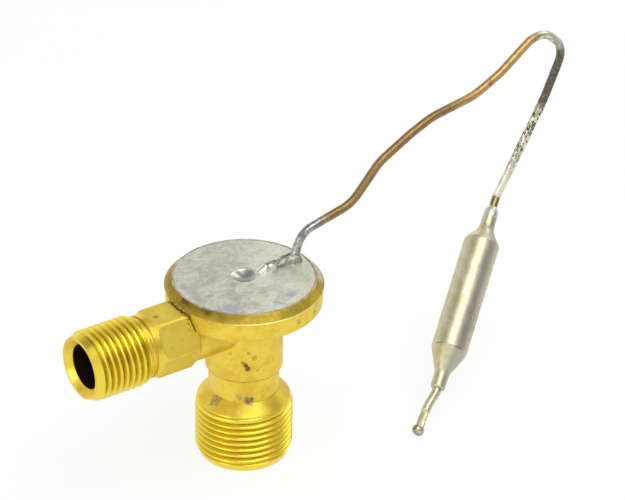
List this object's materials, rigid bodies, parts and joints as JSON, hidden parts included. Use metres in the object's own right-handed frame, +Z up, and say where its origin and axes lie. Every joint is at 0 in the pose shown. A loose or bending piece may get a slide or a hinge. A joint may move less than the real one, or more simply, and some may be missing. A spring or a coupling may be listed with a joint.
{
  "type": "thermostatic expansion valve",
  "caption": "Brass angle-pattern refrigerant expansion valve with a threaded inlet and outlet, a round diaphragm head, a bent capillary tube and a sensing bulb.",
  "frame": {"origin": "centre of the outlet port's end face", "axes": "+Z up along the valve's axis from the outlet to the cover, the inlet port points along -X, the capillary leaves along +X"},
  "size_m": [0.1344, 0.0373, 0.0786],
  "materials": {
    "brass": "forged and turned, bright",
    "tinned_steel": "brushed and tinned, satin",
    "solder": "tin solder, uneven",
    "stainless": "bright",
    "spring_steel": "bright drawn wire",
    "gauze": "woven gauze",
    "copper": "drawn copper, dulled",
    "tinned_copper": "tinned copper, satin"
  },
  "bodies": {
    "valve": {"valve_body": "brass", "cover_disc": "tinned_steel", "rim_solder": "solder", "diaphragm": "stainless", "seat_ring": "stainless", "superheat_spring": "spring_steel", "adjusting_nut": "brass", "strainer_ring": "brass", "strainer_screen": "gauze", "capillary_tube": "copper", "capillary_solder": "solder", "bulb_shell": "tinned_copper", "bulb_solder": "solder", "charge_tube": "tinned_copper", "tip_bead": "solder"},
    "moving_parts": {"buffer_plate": "stainless", "push_rod_front": "stainless", "push_rod_rear": "stainless", "ball_carrier": "brass", "valve_ball": "stainless"}
  },
  "joints": [
    {"name": "valve_stroke", "type": "slide", "parent": "valve", "child": "moving_parts", "axis": [0, 0, -1], "range_m": [0, 0.0008], "stiffness_N_per_m": 4000, "springref_m": -0.001, "deforming": ["superheat_spring", "diaphragm"]}
  ]
}
